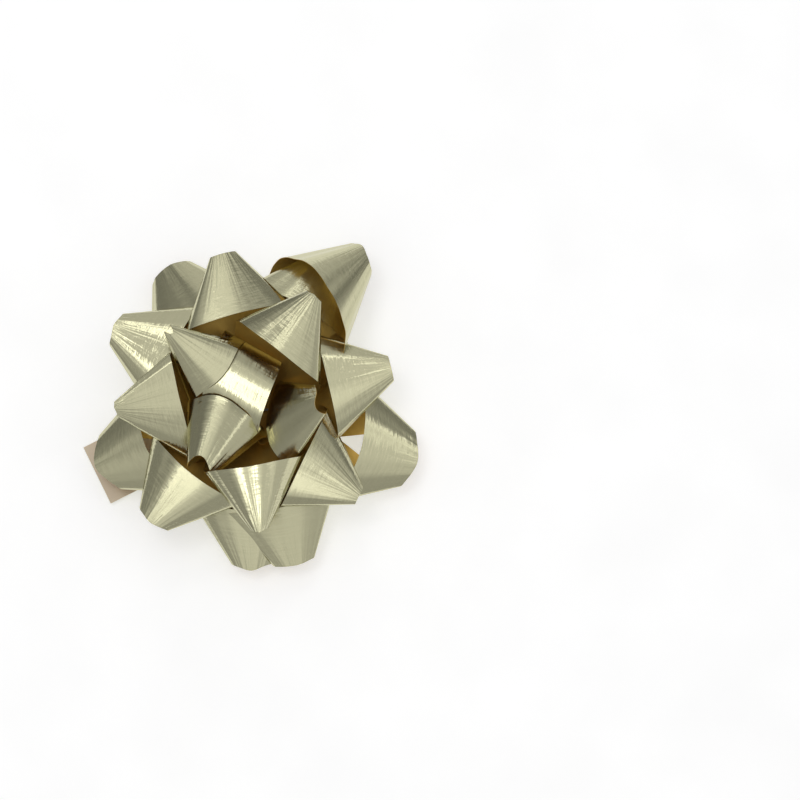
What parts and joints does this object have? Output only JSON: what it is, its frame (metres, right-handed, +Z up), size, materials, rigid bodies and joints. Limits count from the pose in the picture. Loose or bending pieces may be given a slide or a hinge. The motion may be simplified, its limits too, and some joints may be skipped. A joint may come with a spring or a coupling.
{
  "type": "pre-made gift bow",
  "caption": "Star gift bow of champagne-gold foil ribbon wound into pointed loops, stapled to a card with a peel-off adhesive pad underneath.",
  "frame": {"origin": "centre of the bow's underside, on the lower face of the release liner under the staple", "axes": "+Z up through the centre of the bow, away from the gift; +X to the right of the bow's pictured side"},
  "size_m": [0.0995, 0.098, 0.0316],
  "materials": {
    "ribbon_foil": "satin",
    "ribbon_back": "matte",
    "staple_wire": "satin",
    "card": "matte",
    "adhesive_foam": "matte",
    "liner_paper": "satin"
  },
  "bodies": {
    "root": {"outer_loop_1": "ribbon_foil", "outer_loop_2": "ribbon_foil", "outer_loop_3": "ribbon_foil", "outer_loop_4": "ribbon_foil", "outer_loop_5": "ribbon_foil", "outer_loop_6": "ribbon_foil", "lower_loop_1": "ribbon_foil", "lower_loop_2": "ribbon_foil", "lower_loop_3": "ribbon_foil", "lower_loop_4": "ribbon_foil", "lower_loop_5": "ribbon_foil", "lower_loop_6": "ribbon_foil", "middle_loop_1": "ribbon_foil", "middle_loop_2": "ribbon_foil", "upper_loop_1": "ribbon_foil", "upper_loop_2": "ribbon_foil", "inner_loop_1": "ribbon_foil", "inner_loop_2": "ribbon_foil", "centre_loop": "ribbon_foil", "ribbon_tail": "ribbon_foil", "pinned_stack": "ribbon_foil", "staple": "staple_wire", "backing_card": "card", "adhesive_pad": "adhesive_foam"},
    "liner": {"release_liner": "liner_paper"}
  },
  "joints": [
    {"name": "liner_peel", "type": "hinge", "parent": "root", "child": "liner", "pos_m": [0.0135, 0, 0.00025], "axis": [0, -1, 0], "range_deg": [0, 150]}
  ]
}
